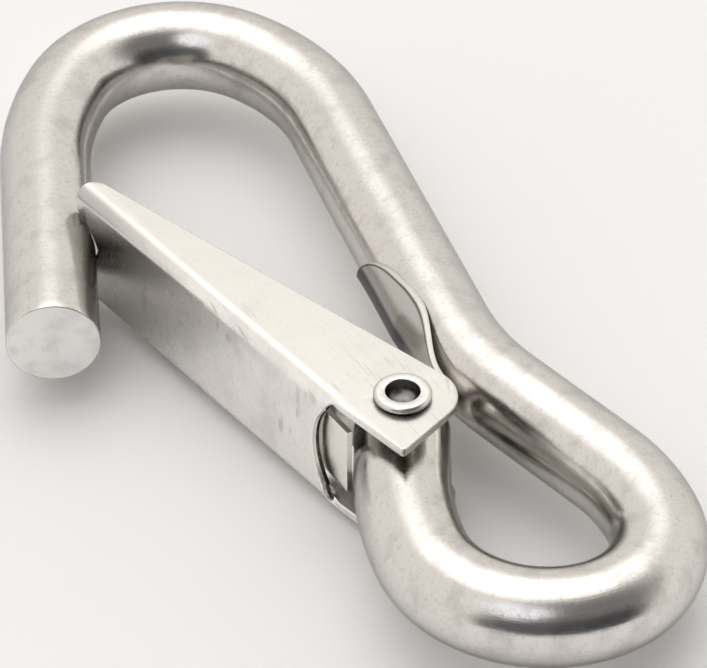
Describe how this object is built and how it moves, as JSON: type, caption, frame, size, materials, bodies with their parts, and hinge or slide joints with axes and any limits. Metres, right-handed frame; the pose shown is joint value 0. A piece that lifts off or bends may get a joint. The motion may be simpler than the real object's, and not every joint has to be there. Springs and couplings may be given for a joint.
{
  "type": "snap hook",
  "caption": "Bent round-rod snap hook with a closed-up eye, a riveted sheet-metal channel gate and a folded leaf spring; the gate swings inwards and springs shut on the nose.",
  "frame": {"origin": "centre of the bounding box in X and Y, at the lowest point of the hook lying flat (under the rivet head)", "axes": "+Y along the hook from the eye to the top of the bowl, +Z across the rod along the rivet, nose and gate on the -X side; the rod's centreline lies in the plane z = 6.71 mm"},
  "size_m": [0.043, 0.0916, 0.0133],
  "materials": {
    "hook_body": "polished stainless round rod, nose end left as sawn",
    "gate": "pressed stainless sheet with fine scratches",
    "rivet": "bright semi-tubular rivet",
    "leaf_spring": "polished spring strip"
  },
  "bodies": {
    "hook": {"hook_body": "hook_body", "leaf_spring": "leaf_spring"},
    "gate": {"gate": "gate", "rivet": "rivet"}
  },
  "joints": [
    {"name": "gate_hinge", "type": "hinge", "parent": "hook", "child": "gate", "pos_m": [0.00084, -0.01782, 0.00671], "axis": [0, 0, -1], "range_deg": [0, 30], "stiffness_Nm_per_rad": 0.25, "springref_deg": -34.38, "deforming": ["leaf_spring"]}
  ]
}
